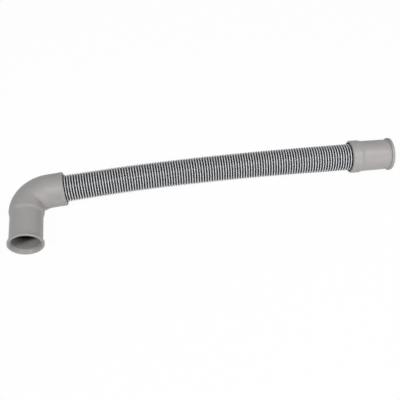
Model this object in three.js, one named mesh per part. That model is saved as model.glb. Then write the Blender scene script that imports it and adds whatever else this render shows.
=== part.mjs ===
// Ribbed drain hose with a moulded cuff on each end: an elbow on the left, whose mouth faces the
// front, and a straight cuff on the right. All sizes are in millimetres, with +Z up. The hose lies
// on the plane z = 0, and the origin is under the middle of the whole part.
import * as THREE from 'three';
import { mergeVertices } from 'three/addons/utils/BufferGeometryUtils.js';

// The corrugated hose. Its ribs are closed rings, one after the other, and not a thread.
const hose = {
  crestRadius: 14.0,
  grooveRadius: 12.8,
  wall: 0.7,
  ribs: 119,
  lengthInSocket: 10.5,
  sides: 12,
};

// The elbow, in the order in which its centre line runs: mouth, leg, bend, hose collar.
const elbow = {
  flangeRadius: 17.5,
  flangeLength: 2.6,
  flangeRounding: 0.8,
  mouthRadius: 15.0,
  boreRadius: 13.8,
  leadInLength: 3.6,
  legRadius: 16.0,
  legRadiusAtShoulder: 16.1,
  legLength: 38.4,
  shoulderRadius: 17.2,
  shoulderRise: 4.0,
  bendRadius: 23.6,
  creaseDepth: 1.5,
  creaseShare: 0.42,
  creaseHalfWidth: 0.27,
  ductRadius: 13.4,
  ductTaper: 2.0,
  collarRadius: 17.3,
  collarLength: 16.0,
  bendSteps: 14,
  sides: 32,
};

// The straight cuff, from the lip round the hose to its open end.
const straightCuff = {
  flangeRadius: 17.2,
  flangeLength: 2.8,
  collarRadius: 17.2,
  collarLength: 9.4,
  slopeLength: 3.2,
  bodyRadius: 16.1,
  bodyRadiusAtFlange: 15.8,
  length: 44.4,
  boreRadius: 13.8,
  mouthRadius: 15.0,
  leadInLength: 2.0,
  sides: 32,
};

// What both cuffs share: the socket that takes the hose and widens towards its lip, the ring that
// the hose's end meets, and the roundings of a mouth's inner edge, of a flange's back, of an open
// end and of a hose lip.
const socketRadius = 14.4;
const socketLipRadius = 15.1;
const socketLeadIn = 3.0;
const stopRadius = 12.6;
const stopLength = 2.0;
const stopTaper = 1.0;
const gap = 0.3;
const innerRounding = 0.4;
const backRounding = 0.5;
const endRounding = 0.8;
const lipRounding = 1.2;

// Each cuff lies on its flange, so its axis is a flange's radius above the floor.
const elbowHeight = elbow.flangeRadius;
const cuffHeight = straightCuff.flangeRadius;

// The hose's centre line, from its end inside the elbow to its end inside the straight cuff. It
// leaves each cuff level and straight, and sags between them until it rests on the floor.
const hoseRoute = [
  [-155.3, 21.15, elbowHeight],
  [-150.0, 21.44, elbowHeight],
  [-144.8, 21.73, elbowHeight],
  [-126.8, 22.60, 17.4],
  [-108.5, 23.60, 17.1],
  [-89.9, 24.70, 16.6],
  [-71.2, 25.70, 15.95],
  [-52.2, 26.45, 15.2],
  [-33.2, 26.95, 14.6],
  [-14.1, 27.15, 14.2],
  [5.0, 27.00, 14.05],
  [24.1, 26.50, 14.15],
  [43.1, 25.65, 14.5],
  [62.1, 24.55, 15.0],
  [81.0, 23.20, 15.6],
  [99.7, 21.75, 16.25],
  [118.4, 20.25, 16.75],
  [137.0, 18.95, 17.1],
  [155.4, 17.90, cuffHeight],
  [160.6, 17.60, cuffHeight],
  [165.9, 17.30, cuffHeight],
].map((point) => new THREE.Vector3(...point));

const rubberColour = 0x9f9b97;
const hoseColour = 0xc3c6c9;

const routeCurve = new THREE.CatmullRomCurve3(hoseRoute, false, 'centripetal');
routeCurve.arcLengthDivisions = 2000;
const hoseLength = routeCurve.getLength();
const ribPitch = hoseLength / hose.ribs;

// A place on the hose's centre line, by its distance from the end that is inside the elbow.
function hoseStation(distance) {
  const share = THREE.MathUtils.clamp(distance / hoseLength, 0, 1);
  return { centre: routeCurve.getPointAt(share), forward: routeCurve.getTangentAt(share) };
}

// Turns a closed outline of [distance along the axis, radius] pairs round the axis, as one skin.
function turnedShell(outline, sides) {
  const points = outline.map(([distance, radius]) => new THREE.Vector2(radius, distance));
  points.push(points[0].clone());
  const shell = new THREE.LatheGeometry(points, sides);
  shell.deleteAttribute('normal');
  shell.deleteAttribute('uv');
  return mergeVertices(shell, 1e-3);
}

// Bends a turned shell, whose axis is Y, onto a centre line. Its cross sections stay upright.
function bendOnto(shell, stationAt) {
  const positions = shell.attributes.position;
  const vertex = new THREE.Vector3();
  for (let index = 0; index < positions.count; index += 1) {
    vertex.fromBufferAttribute(positions, index);
    const { centre, forward } = stationAt(vertex.y);
    const up = new THREE.Vector3(0, 0, 1).addScaledVector(forward, -forward.z).normalize();
    const side = new THREE.Vector3().crossVectors(forward, up);
    const placed = centre.addScaledVector(side, vertex.x).addScaledVector(up, vertex.z);
    positions.setXYZ(index, placed.x, placed.y, placed.z);
  }
  return shell;
}

// A quarter-round edge between two [distance, radius] places. It starts along the axis, or else
// square to it.
function roundedEdge(from, to, startsAlongAxis) {
  const steps = 3;
  const outline = [];
  for (let step = 0; step <= steps; step += 1) {
    const angle = (Math.PI / 2) * (step / steps);
    const early = Math.sin(angle);
    const late = 1 - Math.cos(angle);
    const distanceShare = startsAlongAxis ? early : late;
    const radiusShare = startsAlongAxis ? late : early;
    outline.push([
      THREE.MathUtils.lerp(from[0], to[0], distanceShare),
      THREE.MathUtils.lerp(from[1], to[1], radiusShare),
    ]);
  }
  return outline;
}

function corrugatedHose() {
  const outside = [];
  const inside = [];
  for (let halfRib = 0; halfRib <= 2 * hose.ribs; halfRib += 1) {
    const distance = (halfRib * ribPitch) / 2;
    const radius = halfRib % 2 === 1 ? hose.crestRadius : hose.grooveRadius;
    outside.push([distance, radius]);
    inside.push([distance, radius - hose.wall]);
  }
  const shell = turnedShell([...outside, ...inside.reverse()], hose.sides);
  return bendOnto(shell, hoseStation);
}

// The heading of the collar is the hose's own heading where it leaves the elbow.
const collarDirection = hoseRoute[2].clone().sub(hoseRoute[0]).normalize();
const collarHeading = Math.atan2(collarDirection.y, collarDirection.x);
const collarLip = hoseRoute[2];
const bendEnd = collarLip.clone().addScaledVector(collarDirection, -elbow.collarLength);
const bendCentre = new THREE.Vector2(
  bendEnd.x + elbow.bendRadius * Math.sin(collarHeading),
  bendEnd.y - elbow.bendRadius * Math.cos(collarHeading),
);
const legX = bendCentre.x - elbow.bendRadius;
const mouthY = bendCentre.y - elbow.legLength;

// The elbow's centre line from above: up the leg, round the bend and out to the collar's lip.
const elbowLine = new THREE.Path();
elbowLine.moveTo(legX, mouthY);
elbowLine.lineTo(legX, bendCentre.y);
elbowLine.absarc(
  bendCentre.x, bendCentre.y, elbow.bendRadius, Math.PI, Math.PI / 2 + collarHeading, true,
);
elbowLine.lineTo(collarLip.x, collarLip.y);
const elbowLength = elbowLine.getLength();
const collarStart = elbowLength - elbow.collarLength;

function elbowStation(distance) {
  const share = THREE.MathUtils.clamp(distance / elbowLength, 0, 1);
  const place = elbowLine.getPoint(share);
  const direction = elbowLine.getTangent(share);
  return {
    centre: new THREE.Vector3(place.x, place.y, elbowHeight),
    forward: new THREE.Vector3(direction.x, direction.y, 0),
  };
}

// Pulls the elbow's skin in along the inside of the bend, where the leg and the collar meet. The
// crease is deepest at its share of the bend, and fades to both sides and round the section.
function creaseBend(shell) {
  const positions = shell.attributes.position;
  for (let index = 0; index < positions.count; index += 1) {
    const x = positions.getX(index);
    const z = positions.getZ(index);
    const radius = Math.hypot(x, z);
    const share = (positions.getY(index) - elbow.legLength) / (collarStart - elbow.legLength);
    const offset = (share - elbow.creaseShare) / elbow.creaseHalfWidth;
    if (radius > elbow.legRadius && Math.abs(offset) < 1) {
      const inwards = Math.max(x / radius, 0);
      const depth = elbow.creaseDepth * Math.cos((Math.PI / 2) * offset) ** 2 * inwards ** 2;
      positions.setX(index, x * (1 - depth / radius));
      positions.setZ(index, z * (1 - depth / radius));
    }
  }
  return shell;
}

function elbowOutline() {
  const { flangeRadius, flangeLength, flangeRounding, shoulderRadius } = elbow;
  const shoulder = elbow.legLength;
  const outside = [
    ...roundedEdge([0, flangeRadius - flangeRounding], [flangeRounding, flangeRadius], false),
    [flangeLength - backRounding, flangeRadius],
    [flangeLength, flangeRadius - backRounding],
    [flangeLength + backRounding, elbow.legRadius],
    [shoulder - elbow.shoulderRise, elbow.legRadiusAtShoulder],
    [shoulder - backRounding, shoulderRadius],
  ];
  const inside = [];
  for (let step = 0; step <= elbow.bendSteps; step += 1) {
    const share = step / elbow.bendSteps;
    const distance = THREE.MathUtils.lerp(shoulder, collarStart, share);
    const radius = THREE.MathUtils.lerp(shoulderRadius, elbow.collarRadius, share);
    outside.push([distance, radius]);
    inside.push([distance, elbow.ductRadius]);
  }
  const lipStart = [elbowLength - lipRounding, elbow.collarRadius];
  const lipEnd = [elbowLength, elbow.collarRadius - lipRounding];
  const socketFloor = elbowLength - hose.lengthInSocket - gap;
  const stopEnd = socketFloor - stopLength;
  return [
    ...outside,
    ...roundedEdge(lipStart, lipEnd, true),
    [elbowLength, socketLipRadius],
    [elbowLength - socketLeadIn, socketRadius],
    [socketFloor, socketRadius],
    [socketFloor, stopRadius],
    [stopEnd, stopRadius],
    [stopEnd - stopTaper, elbow.ductRadius],
    ...inside.reverse(),
    [shoulder - elbow.ductTaper, elbow.boreRadius],
    [elbow.leadInLength, elbow.boreRadius],
    [innerRounding, elbow.mouthRadius - innerRounding],
    [0, elbow.mouthRadius],
  ];
}

function straightCuffOutline() {
  const { collarLength, collarRadius, flangeRadius, length } = straightCuff;
  const flangeBack = length - straightCuff.flangeLength;
  const socketFloor = hose.lengthInSocket + gap;
  const stopEnd = socketFloor + stopLength;
  return [
    ...roundedEdge([0, collarRadius - lipRounding], [lipRounding, collarRadius], false),
    [collarLength, collarRadius],
    [collarLength + straightCuff.slopeLength, straightCuff.bodyRadius],
    [flangeBack - backRounding, straightCuff.bodyRadiusAtFlange],
    [flangeBack, flangeRadius - backRounding],
    [flangeBack + backRounding, flangeRadius],
    ...roundedEdge([length - endRounding, flangeRadius], [length, flangeRadius - endRounding], true),
    [length, straightCuff.mouthRadius],
    [length - straightCuff.leadInLength, straightCuff.boreRadius],
    [stopEnd + stopTaper, straightCuff.boreRadius],
    [stopEnd, stopRadius],
    [socketFloor, stopRadius],
    [socketFloor, socketRadius],
    [socketLeadIn, socketRadius],
    [0, socketLipRadius],
  ];
}

// The straight cuff's axis goes on from the last stretch of the hose, level with the floor.
const cuffLip = hoseRoute[hoseRoute.length - 3];
const cuffDirection = hoseRoute[hoseRoute.length - 1].clone().sub(cuffLip).normalize();

function cuffStation(distance) {
  return {
    centre: cuffLip.clone().addScaledVector(cuffDirection, distance),
    forward: cuffDirection,
  };
}

function namedMesh(name, geometry, colour, roughness) {
  const material = new THREE.MeshStandardMaterial({ color: colour, roughness, metalness: 0 });
  const mesh = new THREE.Mesh(geometry, material);
  mesh.name = name;
  return mesh;
}

const turnedElbow = creaseBend(turnedShell(elbowOutline(), elbow.sides));
const elbowShell = bendOnto(turnedElbow, elbowStation);
const cuffShell = bendOnto(turnedShell(straightCuffOutline(), straightCuff.sides), cuffStation);

const drainHose = new THREE.Group();
drainHose.add(
  namedMesh('elbow_cuff', elbowShell, rubberColour, 0.6),
  namedMesh('corrugated_hose', corrugatedHose(), hoseColour, 0.3),
  namedMesh('straight_cuff', cuffShell, rubberColour, 0.6),
);

export default drainHose;
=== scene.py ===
# %% [markdown]
# A drain hose carries the waste water of a washing machine. It has three pieces: a ribbed plastic
# hose, and a soft grey cuff moulded on each end of it, one bent like an elbow and one straight.
#
# The measured model comes in first, as a fixed frame of plain solids in metres. Everything made
# below takes the place of one of those solids. A reader could also model freely and scale the
# result afterwards, but a fixed frame keeps each size true from the first line on.

# %% Load the frame
import bisect
import math

import bmesh
import bpy
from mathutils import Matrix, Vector


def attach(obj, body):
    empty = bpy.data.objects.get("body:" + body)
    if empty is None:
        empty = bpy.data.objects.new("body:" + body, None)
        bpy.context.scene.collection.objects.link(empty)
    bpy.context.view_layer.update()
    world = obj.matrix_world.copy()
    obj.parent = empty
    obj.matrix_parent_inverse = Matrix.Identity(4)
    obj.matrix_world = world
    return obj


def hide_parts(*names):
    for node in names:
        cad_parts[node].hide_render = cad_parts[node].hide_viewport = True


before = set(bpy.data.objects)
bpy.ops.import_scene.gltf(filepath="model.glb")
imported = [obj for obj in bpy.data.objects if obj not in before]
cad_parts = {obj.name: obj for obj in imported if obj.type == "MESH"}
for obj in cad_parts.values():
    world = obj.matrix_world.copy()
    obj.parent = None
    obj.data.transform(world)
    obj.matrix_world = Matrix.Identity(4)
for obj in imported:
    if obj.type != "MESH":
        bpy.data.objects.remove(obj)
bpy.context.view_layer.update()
print("solids in the frame:", sorted(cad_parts))

# %% [markdown]
# The photograph looks down on the hose at fifty-odd degrees, from a little left of square on.
# A camera could be placed by eye, but then no edge of the render would fall on the same edge of
# the photograph. Here the place comes from the picture itself: view direction, distance and lens
# were fitted together to the outlines of the two cuffs and to the spacing of the ribs.
#
# The helper that gives a view direction is used again for the lamps, which are placed by the
# direction that they shine in.

# %% Camera
AZIMUTH_DEG = 8.96
ELEVATION_DEG = 53.53
CAMERA_DISTANCE = 0.58465
CAMERA_TARGET = Vector((-0.0088, -0.00138, 0.0))
LENS_MM = 50.2
SENSOR_MM = 36.0


def view_direction(azimuth_deg, elevation_deg):
    """The way one looks from that compass side and height. At azimuth 0 that is along +Y."""
    azimuth = math.radians(azimuth_deg)
    elevation = math.radians(elevation_deg)
    level = math.cos(elevation)
    return Vector((math.sin(azimuth) * level, math.cos(azimuth) * level, -math.sin(elevation)))


def aim(thing, target, direction, distance):
    """Stands a camera or lamp back from its target and turns it to look along the direction."""
    thing.location = target - direction * distance
    thing.rotation_mode = "QUATERNION"
    thing.rotation_quaternion = direction.to_track_quat("-Z", "Y")
    bpy.context.scene.collection.objects.link(thing)


camera = bpy.data.objects.new("camera", bpy.data.cameras.new("camera"))
camera.data.sensor_width = SENSOR_MM
camera.data.lens = LENS_MM
aim(camera, CAMERA_TARGET, view_direction(AZIMUTH_DEG, ELEVATION_DEG), CAMERA_DISTANCE)
bpy.context.scene.camera = camera
print("camera stands at", [round(value, 4) for value in camera.location])

# %% [markdown]
# The hose is the soft part here. It is stiff for a cord, but it still lies under its own weight:
# it leaves each cuff level and straight, and sags between them until it rests on the floor. Its
# route is a short list of places, the same as in the measured model, with one smooth curve
# through them.
#
# A Catmull-Rom curve passes through every place in its list, which a Bezier or NURBS curve with
# the same places as handles doesn't do. The centripetal kind takes the root of the distance
# between two places as its clock, so it makes no loops or kinks where places are close.

# %% The hose's route
MM = 0.001
ELBOW_HEIGHT = 0.0175
CUFF_HEIGHT = 0.0172
HOSE_ROUTE = [
    Vector(place)
    for place in [
        (-0.15530, 0.02115, ELBOW_HEIGHT),
        (-0.15000, 0.02144, ELBOW_HEIGHT),
        (-0.14480, 0.02173, ELBOW_HEIGHT),
        (-0.12680, 0.02260, 0.01740),
        (-0.10850, 0.02360, 0.01710),
        (-0.08990, 0.02470, 0.01660),
        (-0.07120, 0.02570, 0.01595),
        (-0.05220, 0.02645, 0.01520),
        (-0.03320, 0.02695, 0.01460),
        (-0.01410, 0.02715, 0.01420),
        (0.00500, 0.02700, 0.01405),
        (0.02410, 0.02650, 0.01415),
        (0.04310, 0.02565, 0.01450),
        (0.06210, 0.02455, 0.01500),
        (0.08100, 0.02320, 0.01560),
        (0.09970, 0.02175, 0.01625),
        (0.11840, 0.02025, 0.01675),
        (0.13700, 0.01895, 0.01710),
        (0.15540, 0.01790, CUFF_HEIGHT),
        (0.16060, 0.01760, CUFF_HEIGHT),
        (0.16590, 0.01730, CUFF_HEIGHT),
    ]
]
STEPS_BETWEEN_PLACES = 24


def smooth_route(places, steps):
    """Close points on the centripetal Catmull-Rom curve through the places."""
    before = 2 * places[0] - places[1]
    after = 2 * places[-1] - places[-2]
    line = [before, *places, after]
    points = []
    for p0, p1, p2, p3 in zip(line, line[1:], line[2:], line[3:]):
        t1 = (p1 - p0).length ** 0.5
        t2 = t1 + (p2 - p1).length ** 0.5
        t3 = t2 + (p3 - p2).length ** 0.5
        for step in range(steps):
            t = t1 + (t2 - t1) * step / steps
            a1 = p0.lerp(p1, t / t1)
            a2 = p1.lerp(p2, (t - t1) / (t2 - t1))
            a3 = p2.lerp(p3, (t - t2) / (t3 - t2))
            b1 = a1.lerp(a2, t / t2)
            b2 = a2.lerp(a3, (t - t1) / (t3 - t1))
            points.append(b1.lerp(b2, (t - t1) / (t2 - t1)))
    points.append(places[-1].copy())
    return points


route_points = smooth_route(HOSE_ROUTE, STEPS_BETWEEN_PLACES)
spans = [(end - start).length for start, end in zip(route_points, route_points[1:])]
span_starts = [sum(spans[:index]) for index in range(len(spans) + 1)]
HOSE_LENGTH = span_starts[-1]
print(f"the hose's centre line is {HOSE_LENGTH / MM:.1f} mm long")

# %% [markdown]
# A station is a place on a centre line: where it is, and which way the line runs there. Every
# round piece below is first turned about a straight axis, as on a lathe, and then bent: each
# point moves from its straight station to the same station on the real centre line. That keeps
# the profile in millimetres along the axis, where it is easy to write and to check.
#
# Blender's Curve modifier could bend the pieces too. A few lines of code were chosen because
# they keep every cross section upright and need no helper object in the scene.

# %% Stations, and bending a straight piece onto them
UP = Vector((0, 0, 1))
# Points whose distance agrees to this many decimals of a metre stand on the same ring.
RING_DECIMALS = 7


def route_heading(index):
    """The way the route runs at one of its points, as the mean of the spans on both sides."""
    first = max(index - 1, 0)
    last = min(index + 1, len(route_points) - 1)
    return (route_points[last] - route_points[first]).normalized()


def hose_station(distance):
    """The place and heading at a distance along the route, between its two nearest points."""
    index = min(max(bisect.bisect_right(span_starts, distance) - 1, 0), len(spans) - 1)
    share = (distance - span_starts[index]) / spans[index]
    centre = route_points[index].lerp(route_points[index + 1], share)
    return centre, route_heading(index).lerp(route_heading(index + 1), share).normalized()


def bend_onto(piece, station):
    """Moves a piece that was turned about the X axis onto a centre line."""
    frames = {}
    for vert in piece.verts:
        distance = round(vert.co.x, RING_DECIMALS)
        if distance not in frames:
            centre, forward = station(distance)
            across = UP.cross(forward).normalized()
            frames[distance] = (centre, across, forward.cross(across))
        centre, across, upward = frames[distance]
        vert.co = centre + across * vert.co.y + upward * vert.co.z


middle_of_hose, _ = hose_station(HOSE_LENGTH / 2)
print("the middle of the hose is at", [round(value / MM, 1) for value in middle_of_hose], "mm")

# %% [markdown]
# Each piece is turned from an outline: the line that a knife would show if the piece were cut in
# half along its axis. An outline is a closed loop of corners, each with its distance along the
# axis, its radius, and how much the corner is rounded. Bevelling the loop's corners while it is
# still a bare wire rounds every edge of the finished piece at once. Bevelling the finished mesh
# instead would have to find those edges again among thousands.

# %% An outline as a wire with rounded corners
ROUND_STEPS = 4


def outline_wire(corners):
    """A closed wire through (distance, radius, rounding) corners, with its corners rounded."""
    piece = bmesh.new()
    verts = [piece.verts.new((distance, radius, 0)) for distance, radius, _ in corners]
    for start, end in zip(verts, verts[1:] + verts[:1]):
        piece.edges.new((start, end))
    rounded = [(vert, corner[2]) for vert, corner in zip(verts, corners) if corner[2] > 0]
    for size in sorted({rounding for _, rounding in rounded}):
        bmesh.ops.bevel(
            piece, geom=[vert for vert, rounding in rounded if rounding == size], offset=size,
            offset_type="OFFSET", segments=ROUND_STEPS, profile=0.5, affect="VERTICES",
            material=-1, clamp_overlap=True,
        )
    return piece


print("each rounded corner gets", ROUND_STEPS, "segments")

# %% [markdown]
# The spin operator sweeps the wire round the axis, as a lathe does. Its last copy lands on its
# first, so the doubles are merged, and then the normals are worked out again so that all of them
# face out. A Screw modifier does the same job live. The operator was chosen because the turned
# mesh is needed at once, to be cut, marked and bent.
#
# The last helper makes the object. It prints the number of open edges, which has to be 0 on each
# piece of the hose: a closed skin has a volume, and one with a slit in it has none.

# %% Turning the wire, and making the object
DOUBLES_WITHIN = 1e-6
CM3 = 1e-6


def turn(piece, sides):
    """Spins a wire round the X axis into a closed skin whose faces point outwards."""
    bmesh.ops.spin(
        piece, geom=piece.verts[:] + piece.edges[:], cent=(0, 0, 0), axis=(1, 0, 0),
        dvec=(0, 0, 0), angle=2 * math.pi, steps=sides, use_merge=True, use_duplicate=False,
    )
    bmesh.ops.remove_doubles(piece, verts=piece.verts, dist=DOUBLES_WITHIN)
    bmesh.ops.recalc_face_normals(piece, faces=piece.faces)


SHARP_FROM_DEG = 40


def finished(piece, name, material, sharp_deg=SHARP_FROM_DEG):
    """Makes the object of a finished piece, smooth but for its sharp edges."""
    mesh = bpy.data.meshes.new(name)
    open_edges = sum(1 for edge in piece.edges if len(edge.link_faces) != 2)
    volume = piece.calc_volume(signed=True)
    piece.to_mesh(mesh)
    piece.free()
    mesh.shade_smooth()
    mesh.set_sharp_from_angle(angle=math.radians(sharp_deg))
    mesh.materials.append(material)
    shown = bpy.data.objects.new(name, mesh)
    bpy.context.scene.collection.objects.link(shown)
    triangles = sum(len(face.vertices) - 2 for face in mesh.polygons)
    print(f"{name}: {triangles} triangles, {volume / CM3:.2f} cm3, {open_edges} open edges")
    return shown


# %% [markdown]
# Materials are named for the real stuff. The colours are written as they would be read off a
# screen, in sRGB hex, and one function turns them into the linear values that light is
# calculated with. Another small function adds a node, sets its values and makes its links in
# one call, so that each material below reads as a short recipe.

# %% Material helpers
def linear(hex_colour):
    """A linear RGBA colour from an sRGB hex string."""
    channels = [int(hex_colour[start:start + 2], 16) / 255 for start in (1, 3, 5)]
    return [
        value / 12.92 if value <= 0.04045 else ((value + 0.055) / 1.055) ** 2.4
        for value in channels
    ] + [1.0]


def new_material(name):
    """An empty node material."""
    material = bpy.data.materials.new(name)
    material.use_nodes = True
    material.node_tree.nodes.clear()
    return material


def add(tree, kind, inputs=None, **settings):
    """Adds a node. An input's value is set on its socket, or linked if it is another socket."""
    node = tree.nodes.new(kind)
    for name, value in settings.items():
        setattr(node, name, value)
    for name, value in (inputs or {}).items():
        if isinstance(value, bpy.types.NodeSocket):
            tree.links.new(value, node.inputs[name])
        else:
            node.inputs[name].default_value = value
    return node


print("a mid grey of #808080 is", round(linear("#808080")[0], 3), "in linear light")

# %% [markdown]
# The hose is polypropylene, extruded as a tube and formed into ring-shaped ribs while still
# warm. It has one even gloss, which draws a bright line along the crests. Its plastic is a pale
# grey, and the grooves are painted with shade, nearly black, for a stronger contrast than shadow
# alone gives in ribs as shallow as these. The mesh carries a value, rib_height, that is 0 at the
# bottom of a groove and 1 on a crest, and the material reads it, so the painted shade follows the
# ribs exactly round every bend. A striped texture could only guess where they are.

# %% Corrugated polypropylene
# Up to the first height the grooves are painted near-black shade; from the second the crests keep
# the plastic's own pale grey.
GROOVE_DARK_TO = 0.68
CREST_PALE_FROM = 0.96


def corrugated_polypropylene():
    """Pale grey plastic with painted shade, nearly black, in the grooves, and one even gloss."""
    material = new_material("corrugated_polypropylene")
    tree = material.node_tree
    height = add(tree, "ShaderNodeAttribute", attribute_name="rib_height").outputs["Fac"]
    crest_tone_and_groove_shade = add(tree, "ShaderNodeValToRGB", {"Fac": height})
    painted_groove_shade, crest = crest_tone_and_groove_shade.color_ramp.elements
    painted_groove_shade.position = GROOVE_DARK_TO
    painted_groove_shade.color = linear("#0d0e0f")
    crest.position = CREST_PALE_FROM
    crest.color = linear("#e0e2e6")
    surface = add(
        tree, "ShaderNodeBsdfPrincipled",
        {"Base Color": crest_tone_and_groove_shade.outputs["Color"], "Roughness": 0.32, "IOR": 1.49},
    )
    add(tree, "ShaderNodeOutputMaterial", {"Surface": surface.outputs["BSDF"]})
    return material


polypropylene = corrugated_polypropylene()
print("made", polypropylene.name)

# %% [markdown]
# The ribs of the hose are closed rings, one after the other, and not a screw thread: every rib
# stands square to the centre line. One rib is a crest with a round top, a steep wall on each
# side and a groove. A plain cosine wave would look like a row of soft rolls, so the wave is
# pressed flat at its top and bottom, which makes the walls between them steeper.
#
# The ribs aren't quite even in the photograph. They stand a little closer towards both ends, and
# more so at the left one. Why can't be seen. A smooth sine follows it, which shifts the ribs by
# about a millimetre at most.

# %% The shape and spacing of the ribs
CREST_RADIUS = 14.0 * MM
GROOVE_RADIUS = 12.8 * MM
RIB_DEPTH = CREST_RADIUS - GROOVE_RADIUS
HOSE_WALL = 0.7 * MM
RIBS = 119
WALL_STEEPNESS = 1.6
CROWDING_LEFT = 1.2 * MM
CROWDING_RIGHT = 0.6 * MM


def rib_height(share):
    """The height of the ribbed skin at a share of one rib: 0 in the groove, 1 on the crest."""
    wave = -math.cos(2 * math.pi * share)
    return 0.5 + 0.5 * math.tanh(WALL_STEEPNESS * wave) / math.tanh(WALL_STEEPNESS)


def rib_place(share):
    """How far along the hose a share of all the ribs ends."""
    crowding = CROWDING_LEFT if share < 0.5 else CROWDING_RIGHT
    return HOSE_LENGTH * share - crowding * math.sin(2 * math.pi * share)


print(f"one rib is {HOSE_LENGTH / RIBS / MM:.2f} mm long on average")

# %% [markdown]
# The whole section of the hose is one long wire: out along the ribbed outside, and back along
# the inside, which is ribbed as well because the wall is thin. It is made by repeating a rib's
# few points in a loop, then turned and bent. Copying a finished ring a hundred times would also
# work, but it would leave a hundred seams to close.
#
# The ends of the hose hide in the cuffs, where hardly any light reaches them. There the value
# rib_height stays 0, which paints them with the near-black groove shade as their shadow, so that
# no pale crest shines out of the narrow gap at a cuff's lip.

# %% The hose
HOSE_SIDES = 56
NOWHERE_SHARP_DEG = 180
OUTSIDE_POINTS = 10
INSIDE_POINTS = 4
LENGTH_IN_SOCKET = 10.5 * MM
LIP_SHADOW = 0.9 * MM


def ribbed_line(points_per_rib, foot):
    """The corners of all the ribs in a row, above a foot radius."""
    count = RIBS * points_per_rib
    return [
        (rib_place(index / count), foot + RIB_DEPTH * rib_height(index / points_per_rib), 0)
        for index in range(count + 1)
    ]


outside_line = ribbed_line(OUTSIDE_POINTS, GROOVE_RADIUS)
inside_line = ribbed_line(INSIDE_POINTS, GROOVE_RADIUS - HOSE_WALL)
tube = outline_wire(outside_line + inside_line[::-1])
turn(tube, HOSE_SIDES)
rib_height_shade_layer = tube.verts.layers.float.new("rib_height")
for vert in tube.verts:
    radius = math.hypot(vert.co.y, vert.co.z)
    from_end = min(vert.co.x, HOSE_LENGTH - vert.co.x)
    # Inside a socket and just past its lip, the hose is painted with near-black shadow.
    beyond_lip_shadow = from_end > LENGTH_IN_SOCKET + LIP_SHADOW
    vert[rib_height_shade_layer] = min(max((radius - GROOVE_RADIUS) / RIB_DEPTH, 0.0), 1.0) * beyond_lip_shadow
bend_onto(tube, hose_station)
hose = finished(tube, "ribbed_drain_hose", polypropylene, NOWHERE_SHARP_DEG)

# %% [markdown]
# The cuffs are moulded in a soft grey rubber. Its surface copies the spark-eroded steel of the
# mould, so it is matt with a very fine grain, and its colour wanders a little where the mix
# cooled unevenly. A flat grey would look like paint. The real grain, about a third of a
# millimetre, would vanish in a picture of this size, so it is drawn twice as coarse.
#
# Light that gets into a grey tube loses more than half of its strength at each bounce, so the
# inside of a real cuff is far darker than its skin. That darkness is painted shade here: the mesh
# carries a value which fades the grey to near black on the inner walls, and so helps the lamps to
# show that depth. Darkening them with fewer lamps alone would take the light from the outside as
# well.

# %% Moulded grey rubber
GRAIN = 0.7 * MM
CLOUDS = 14.0 * MM


def moulded_rubber():
    """Matt grey with a faint cloudiness and grain, and painted shade on the inner walls."""
    material = new_material("moulded_grey_rubber")
    tree = material.node_tree
    place = add(tree, "ShaderNodeTexCoord").outputs["Object"]
    painted_inner_shade = add(tree, "ShaderNodeAttribute", attribute_name="painted_inner_shade").outputs["Fac"]
    clouds = add(tree, "ShaderNodeTexNoise", {"Vector": place, "Scale": 1 / CLOUDS, "Detail": 3.0})
    colour = add(tree, "ShaderNodeMix", {"Factor": clouds.outputs["Fac"]}, data_type="RGBA")
    colour.inputs["A"].default_value = linear("#a9a4a2")
    colour.inputs["B"].default_value = linear("#9e9d9c")
    shade = add(
        tree, "ShaderNodeMix", {"Factor": painted_inner_shade, "A": colour.outputs["Result"]}, data_type="RGBA"
    )
    # Near black: the painted shade of the inner walls.
    shade.inputs["B"].default_value = linear("#1a1919")
    grain = add(tree, "ShaderNodeTexNoise", {"Vector": place, "Scale": 1 / GRAIN, "Detail": 2.0})
    bump = add(
        tree, "ShaderNodeBump",
        {"Height": grain.outputs["Fac"], "Distance": 0.04 * MM, "Strength": 0.25},
    )
    surface = add(
        tree, "ShaderNodeBsdfPrincipled",
        {"Base Color": shade.outputs["Result"], "Roughness": 0.45, "IOR": 1.5,
         "Normal": bump.outputs["Normal"]},
    )
    add(tree, "ShaderNodeOutputMaterial", {"Surface": surface.outputs["BSDF"]})
    return material


rubber = moulded_rubber()
print("made", rubber.name)

# %% [markdown]
# A cuff is turned like the hose, from a section given in millimetres. Long edges of the wire
# are first cut into short ones: a straight edge has no points between its ends, so it could not
# follow a bend, and the values written on its points would have nowhere to change.
#
# Both cuffs are moulded in a mould of two halves, and where these met, a fine ridge runs along
# each side. Two cuts a little above and below the middle fence it off, and the points between
# them, which the spin has put exactly on the middle, are moved out. A bump texture could draw
# the line too, but it would not show at the edge of the piece, where the light catches it.

# %% Turning a cuff, with its parting seams
CUFF_SIDES = 96
SEAM_HALF_WIDTH = 0.35 * MM
SEAM_HEIGHT = 0.18 * MM
SEAM_INNER_RADIUS = 15.3 * MM
ON_PLANE = 1e-7


def raise_parting_seam(piece):
    """A low ridge along both sides, where the two halves of the mould met."""
    for edge_height in (-SEAM_HALF_WIDTH, SEAM_HALF_WIDTH):
        bmesh.ops.bisect_plane(
            piece, geom=piece.verts[:] + piece.edges[:] + piece.faces[:], dist=ON_PLANE,
            plane_co=(0, 0, edge_height), plane_no=(0, 0, 1),
        )
    for vert in piece.verts:
        if abs(vert.co.z) < ON_PLANE and abs(vert.co.y) > SEAM_INNER_RADIUS:
            vert.co.y += math.copysign(SEAM_HEIGHT, vert.co.y)


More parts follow.
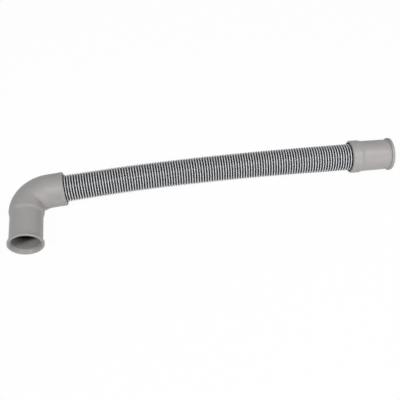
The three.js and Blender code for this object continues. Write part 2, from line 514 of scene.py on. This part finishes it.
def turned_cuff(corners, longest_step):
    """Turns a cuff from its corners in millimetres, as distance, radius and rounding."""
    piece = outline_wire([tuple(value * MM for value in corner) for corner in corners])
    long_edges = {}
    for edge in piece.edges:
        cuts = int(edge.calc_length() / longest_step)
        if cuts:
            long_edges.setdefault(cuts, []).append(edge)
    for cuts, edges in long_edges.items():
        bmesh.ops.subdivide_edges(piece, edges=edges, cuts=cuts)
    turn(piece, CUFF_SIDES)
    raise_parting_seam(piece)
    return piece


# The socket that takes the hose, from the lip inwards: depth, radius and rounding in
# millimetres. A cone leads in, the hose sits in the straight part, and a ring stops it.
SOCKET_DEPTH = 10.8
SOCKET_RADIUS = 14.4
LIP_RADIUS = 15.1
STOP_RADIUS = 12.6
STOP_END = SOCKET_DEPTH + 2.0
BEHIND_STOP = STOP_END + 1.0
SOCKET_CORNERS = [
    (0, LIP_RADIUS, 0.2),
    (3.0, SOCKET_RADIUS, 0.4),
    (SOCKET_DEPTH, SOCKET_RADIUS, 0.2),
    (SOCKET_DEPTH, STOP_RADIUS, 0.3),
    (STOP_END, STOP_RADIUS, 0.3),
]
hidden_length = LENGTH_IN_SOCKET / MM
print(f"each socket is {SOCKET_DEPTH} mm deep, and the hose goes {hidden_length:.1f} mm in")

# %% [markdown]
# The painted shade of the inner walls is written point by point. It is needed only where a wall
# faces the axis, which its normal tells. Close to the open mouth the wall is dimmed a little, and
# further in it falls to near black within a few millimetres, as where a tunnel's daylight ends.
# The sockets lie deeper still and are painted black too, as the shadow round the hose's end.

# %% How dark the inner walls are
# How much shade is painted on the inner walls, from 0 for none to 1 for black.
MOUTH_SHADE = 0.12
BORE_SHADE = 0.2
DIM_DEPTH = 13.0 * MM
DARK_DEPTH = 17.5 * MM
LIP_FLAT = 0.25 * MM


def inner_shade(depth, lead_in, length):
    """How much shade is painted on a wall at a depth from the open end: 0 is none and 1 is black.
    """
    if depth < lead_in:
        return MOUTH_SHADE
    if depth > length - LIP_FLAT:
        return 0.0
    share = (depth - DIM_DEPTH) / (DARK_DEPTH - DIM_DEPTH)
    return BORE_SHADE + (1 - BORE_SHADE) * min(max(share, 0.0), 1.0)


def paint_inner_shade(piece, mouth, lead_in, length):
    """Writes the painted shade on every point whose skin faces the axis. The mouth is at its
    distance.
    """
    piece.normal_update()
    layer = piece.verts.layers.float.new("painted_inner_shade")
    for vert in piece.verts:
        if Vector((0, vert.co.y, vert.co.z)).dot(vert.normal) < 0:
            vert[layer] = inner_shade(abs(vert.co.x - mouth), lead_in, length)


print(f"the bore is black from {DARK_DEPTH / MM:.1f} mm inwards")

# %% [markdown]
# The elbow's centre line is a straight, an arc and another straight, so its station has a
# formula and needs no list of points. The second straight runs on into the hose's first points,
# and everything else follows from there: the bend turns from that direction to the leg's, which
# points at the viewer.

# %% The elbow's centre line
LEG_LENGTH = 38.4 * MM
BEND_RADIUS = 23.6 * MM
COLLAR_LENGTH = 16.0 * MM
collar_direction = (HOSE_ROUTE[2] - HOSE_ROUTE[0]).normalized()
BEND_ANGLE = math.pi / 2 - math.atan2(collar_direction.y, collar_direction.x)
bend_end = HOSE_ROUTE[2] - collar_direction * COLLAR_LENGTH
BEND_CENTRE = bend_end + Vector((collar_direction.y, -collar_direction.x, 0)) * BEND_RADIUS
ELBOW_LENGTH = LEG_LENGTH + BEND_RADIUS * BEND_ANGLE + COLLAR_LENGTH


def elbow_station(distance):
    """The place and heading along the leg, the bend and the collar."""
    turned = min(max((distance - LEG_LENGTH) / BEND_RADIUS, 0.0), BEND_ANGLE)
    straight = distance - LEG_LENGTH - turned * BEND_RADIUS
    forward = Vector((math.sin(turned), math.cos(turned), 0))
    outward = Vector((-math.cos(turned), math.sin(turned), 0))
    return BEND_CENTRE + outward * BEND_RADIUS + forward * straight, forward


print(f"the elbow turns {math.degrees(BEND_ANGLE):.1f} degrees in {ELBOW_LENGTH / MM:.1f} mm")

# %% [markdown]
# Rubber that is bent tightly folds where it has too much skin, on the inside of the bend. The
# moulding has such a crease, between the leg and the collar. Each point of the skin is pulled in
# towards the centre line: most in the middle of the crease, less along and round the pipe from
# there, by a cosine in both directions, so that the hollow has no edge. Sculpting would do it
# too, but not in numbers that the measured model can share.

# %% The crease inside the bend
CREASE_DEPTH = 1.5 * MM
CREASE_SHARE = 0.42
CREASE_HALF_WIDTH = 0.27
SKIN_RADIUS = 15.0 * MM


def crease_bend(piece):
    """Pulls the skin in along the inside of the bend, where the leg and the collar meet."""
    for vert in piece.verts:
        radius = math.hypot(vert.co.y, vert.co.z)
        share = (vert.co.x - LEG_LENGTH) / (BEND_RADIUS * BEND_ANGLE)
        offset = (share - CREASE_SHARE) / CREASE_HALF_WIDTH
        if radius > SKIN_RADIUS and abs(offset) < 1:
            inwards = max(-vert.co.y / radius, 0.0)
            depth = CREASE_DEPTH * math.cos(math.pi / 2 * offset) ** 2 * inwards ** 2
            shrink = 1 - depth / radius
            vert.co.y *= shrink
            vert.co.z *= shrink


print(f"the crease is {CREASE_DEPTH / MM:.1f} mm deep")

# %% [markdown]
# The elbow's section, corner by corner. From its open end it has a round flange, a leg that
# widens very slightly so that it leaves the mould, a soft shoulder, the bend, and a collar with
# a low band round the hose. The way back runs through the inside, from the lip to the mouth.

# %% The elbow
ELBOW_FLANGE_RADIUS = 17.5
LEG_RADIUS = 16.0
LEG_RADIUS_AT_SHOULDER = 16.1
SHOULDER_RADIUS = 17.2
BEND_END_RADIUS = 17.25
BAND_RADIUS = 17.35
LEG_BORE_RADIUS = 13.6
BEND_BORE_RADIUS = 13.4
ELBOW_MOUTH_RADIUS = 15.1
ELBOW_LEAD_IN = 4.0
ELBOW_STEP = 1.2 * MM


def elbow_corners():
    """The elbow's section as distance, radius and rounding, in millimetres from its open end."""
    lip = ELBOW_LENGTH / MM
    leg_end = LEG_LENGTH / MM
    return [
        (0, ELBOW_FLANGE_RADIUS, 0.9),
        (2.6, ELBOW_FLANGE_RADIUS, 0.4),
        (3.1, LEG_RADIUS, 0.4),
        (leg_end - 4.6, LEG_RADIUS_AT_SHOULDER, 0.8),
        (leg_end - 1.4, SHOULDER_RADIUS, 1.0),
        (lip - COLLAR_LENGTH / MM, BEND_END_RADIUS, 0),
        (lip - 5.6, SHOULDER_RADIUS, 0.2),
        (lip - 5.4, BAND_RADIUS, 0.2),
        (lip, BAND_RADIUS, 1.1),
        *[(lip - depth, radius, rounding) for depth, radius, rounding in SOCKET_CORNERS],
        (lip - BEHIND_STOP, BEND_BORE_RADIUS, 0.3),
        (leg_end, BEND_BORE_RADIUS, 0.5),
        (leg_end - 2.0, LEG_BORE_RADIUS, 0.5),
        (ELBOW_LEAD_IN, LEG_BORE_RADIUS, 0.3),
        (0.4, ELBOW_MOUTH_RADIUS, 0.3),
    ]


elbow_shell = turned_cuff(elbow_corners(), ELBOW_STEP)
paint_inner_shade(elbow_shell, 0, ELBOW_LEAD_IN * MM, ELBOW_LENGTH)
crease_bend(elbow_shell)
bend_onto(elbow_shell, elbow_station)
elbow = finished(elbow_shell, "elbow_cuff_moulding", rubber)

# %% [markdown]
# The straight cuff is a plain sleeve. Its collar takes the hose as the elbow's does, then it
# steps down to a smooth body and ends in a flange, which a thumb can push against. A narrow
# groove behind the flange draws the dark line that is seen there.

# %% The straight cuff
CUFF_LENGTH = 44.4 * MM
CUFF_FLANGE_RADIUS = 17.2
COLLAR_RADIUS = 17.2
BODY_RADIUS = 16.1
BODY_RADIUS_AT_FLANGE = 15.8
FLANGE_GROOVE_RADIUS = 15.35
CUFF_BORE_RADIUS = 13.8
CUFF_MOUTH_RADIUS = 15.0
CUFF_LEAD_IN = 2.0
CUFF_STEP = 3.0 * MM
cuff_lip = HOSE_ROUTE[-3]
cuff_direction = (HOSE_ROUTE[-1] - cuff_lip).normalized()


def cuff_station(distance):
    """The straight cuff's centre line runs on from the hose's last points."""
    return cuff_lip + cuff_direction * distance, cuff_direction


def straight_corners():
    """The straight cuff's section, in millimetres from the lip that takes the hose."""
    end = CUFF_LENGTH / MM
    return [
        (0, COLLAR_RADIUS, 1.4),
        (9.4, COLLAR_RADIUS, 0.8),
        (12.6, BODY_RADIUS, 0.8),
        (end - 4.2, BODY_RADIUS_AT_FLANGE, 0.2),
        (end - 4.0, FLANGE_GROOVE_RADIUS, 0.15),
        (end - 3.2, FLANGE_GROOVE_RADIUS, 0.15),
        (end - 2.8, CUFF_FLANGE_RADIUS, 0.4),
        (end, CUFF_FLANGE_RADIUS, 0.9),
        (end, CUFF_MOUTH_RADIUS, 0.3),
        (end - CUFF_LEAD_IN, CUFF_BORE_RADIUS, 0.3),
        (BEHIND_STOP, CUFF_BORE_RADIUS, 0.3),
        *SOCKET_CORNERS[::-1],
    ]


cuff_shell = turned_cuff(straight_corners(), CUFF_STEP)
paint_inner_shade(cuff_shell, CUFF_LENGTH, CUFF_LEAD_IN * MM, CUFF_LENGTH)
bend_onto(cuff_shell, cuff_station)
straight = finished(cuff_shell, "straight_cuff_moulding", rubber)

# %% [markdown]
# Now each piece is tied to the frame: it rides on the one body that the part has, and it stands
# for its solid, which is hidden.

# %% Tie the pieces to the frame
for piece, node, slot in (
    (hose, "corrugated_hose", "hose_plastic"),
    (elbow, "elbow_cuff", "cuff_rubber"),
    (straight, "straight_cuff", "cuff_rubber"),
):
    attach(piece, "root")
    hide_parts(node)
print("tied", hose.name, elbow.name, straight.name)

# %% [markdown]
# The studio is plain: a white floor in an even white surround. The picture behind the hose is
# pure white, and that comes from what the camera sees, not from more light: rays from the
# camera, and mirror rays, find a white of strength 1, while the light that falls on the hose
# stays at a plain level. More light would make the background white as well, but it would
# bleach the grey rubber on the way.

# %% The white surround
WHITE = (1.0, 1.0, 1.0, 1.0)
SURROUND_STRENGTH = 0.14


def seen_directly(tree):
    """1 for rays from the camera, and for mirrored and see-through ones, and 0 for the rest."""
    path = add(tree, "ShaderNodeLightPath").outputs
    seen_or_mirrored = add(
        tree, "ShaderNodeMath", {0: path["Is Camera Ray"], 1: path["Is Glossy Ray"]},
        operation="MAXIMUM",
    )
    any_of_them = add(
        tree, "ShaderNodeMath", {0: seen_or_mirrored.outputs[0], 1: path["Is Transmission Ray"]},
        operation="MAXIMUM",
    )
    return any_of_them.outputs[0]


world = bpy.data.worlds.new("white_surround")
world.use_nodes = True
bpy.context.scene.world = world
tree = world.node_tree
tree.nodes.clear()
lighting = add(tree, "ShaderNodeBackground", {"Color": WHITE, "Strength": SURROUND_STRENGTH})
backdrop = add(tree, "ShaderNodeBackground", {"Color": WHITE, "Strength": 1.0})
surround = add(
    tree, "ShaderNodeMixShader",
    {0: seen_directly(tree), 1: lighting.outputs[0], 2: backdrop.outputs[0]},
)
add(tree, "ShaderNodeOutputWorld", {"Surface": surround.outputs[0]})
print("the surround lights the hose at a strength of", SURROUND_STRENGTH)

# %% [markdown]
# The floor mixes two surfaces: the same white as the surround, for the eye, and a matt white
# paint, which takes the hose's shadow and throws light back up at it. The camera sees 97 parts
# of the first and 3 of the second, so the shadow stays, but very faint. A flat sheet has a rim,
# It isn't part of the hose.

# %% The floor
FLOOR_WHITENESS = 0.97
FLOOR_SIZE = 6.0

floor_paint = new_material("white_studio_floor")
tree = floor_paint.node_tree
whiteness = add(
    tree, "ShaderNodeMath", {0: seen_directly(tree), 1: FLOOR_WHITENESS}, operation="MULTIPLY"
)
matt = add(tree, "ShaderNodeBsdfDiffuse", {"Color": linear("#f4f4f4")})
bright = add(tree, "ShaderNodeEmission", {"Color": WHITE, "Strength": 1.0})
floor_mix = add(
    tree, "ShaderNodeMixShader",
    {0: whiteness.outputs[0], 1: matt.outputs[0], 2: bright.outputs[0]},
)
add(tree, "ShaderNodeOutputMaterial", {"Surface": floor_mix.outputs[0]})

ground = bmesh.new()
bmesh.ops.create_grid(ground, x_segments=1, y_segments=1, size=FLOOR_SIZE / 2)
studio_floor = finished(ground, "studio_floor", floor_paint)

# %% [markdown]
# Three soft lamps stand on the viewer's side. A strong one on the left draws the bright line
# along the hose and lights the right wall of the elbow's bore. One on the right stands nearer,
# so that it fills the straight cuff more than the elbow, and one low in front lifts the
# undersides. A single lamp overhead would be simpler, but it would flatten the bend.

# %% The lamps
# Each lamp's azimuth and elevation in degrees, its distance and size in metres, and its watts.
LAMPS = {
    "left_lamp": (45, 52, 1.2, 0.2, 6.3),
    "right_lamp": (-55, 58, 0.7, 0.3, 1.75),
    "low_front_lamp": (-20, 15, 1.2, 0.45, 2.8),
}
for name, (azimuth_deg, elevation_deg, distance, size, watts) in LAMPS.items():
    lamp = bpy.data.objects.new(name, bpy.data.lights.new(name, "AREA"))
    lamp.data.shape = "DISK"
    lamp.data.size = size
    lamp.data.energy = watts
    aim(lamp, Vector((0, 0, 0)), view_direction(azimuth_deg, elevation_deg), distance)
    print(name, "stands at", [round(value, 2) for value in lamp.location])

bpy.context.scene.view_settings.view_transform = "Standard"
